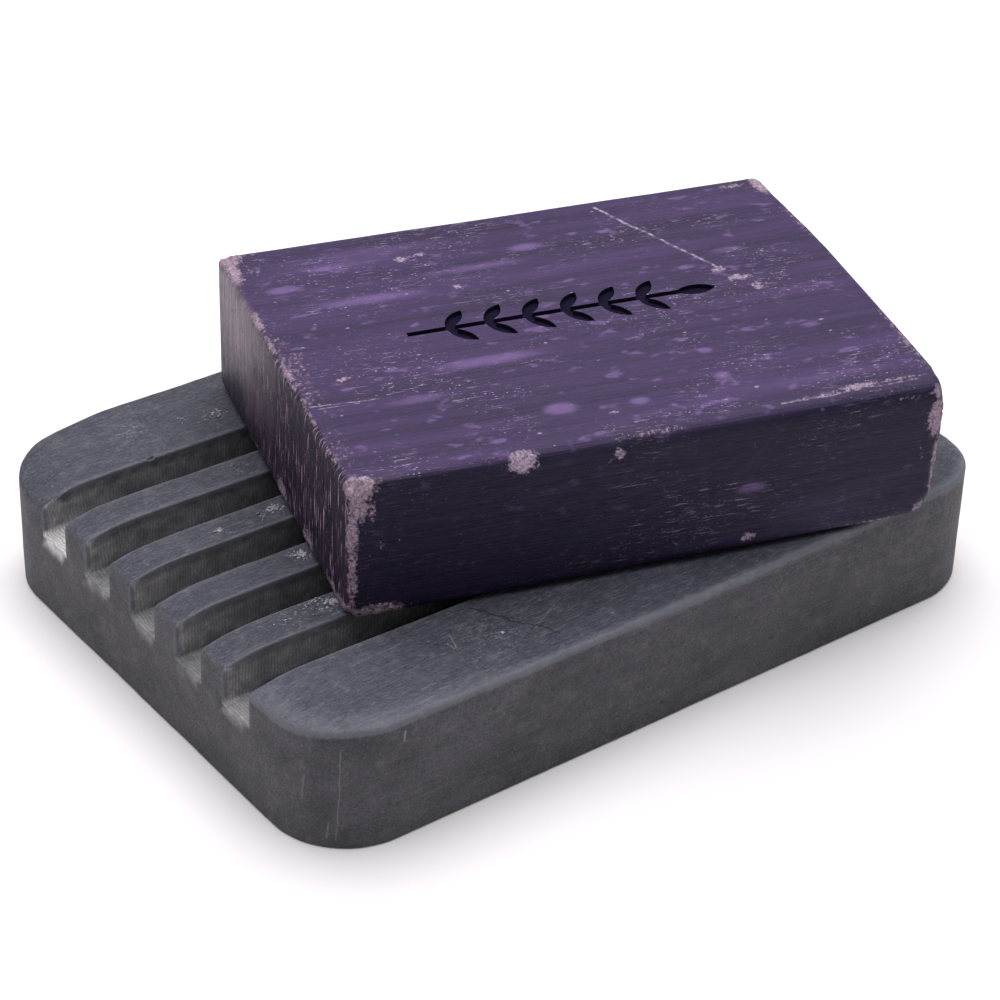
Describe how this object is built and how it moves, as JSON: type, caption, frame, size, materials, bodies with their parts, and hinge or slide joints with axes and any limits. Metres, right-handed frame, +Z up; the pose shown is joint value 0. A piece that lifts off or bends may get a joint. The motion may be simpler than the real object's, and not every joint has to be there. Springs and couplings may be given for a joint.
{
  "type": "shaving soap bar on a drainage dish",
  "caption": "Rectangular bar of shaving soap with a pressed sprig, resting askew on a rounded stone dish with drainage grooves.",
  "frame": {"origin": "middle of the dish's base, on the surface that it stands on", "axes": "+X along the grooves to the right, +Y across the grooves to the back, +Z up"},
  "size_m": [0.1218, 0.0916, 0.0424],
  "materials": {
    "stone": "honed dark grey slate with fine saw marks and chalky worn edges",
    "soap": "deep violet hand-cut soap, waxy satin, with pale chipped edges"
  },
  "bodies": {
    "dish": {"stone_dish": "stone"},
    "bar": {"soap_bar": "soap"}
  },
  "joints": [
    {"name": "bar_lift", "type": "slide", "parent": "dish", "child": "bar", "axis": [0, 0, 1], "range_m": [0, 0.06]}
  ]
}
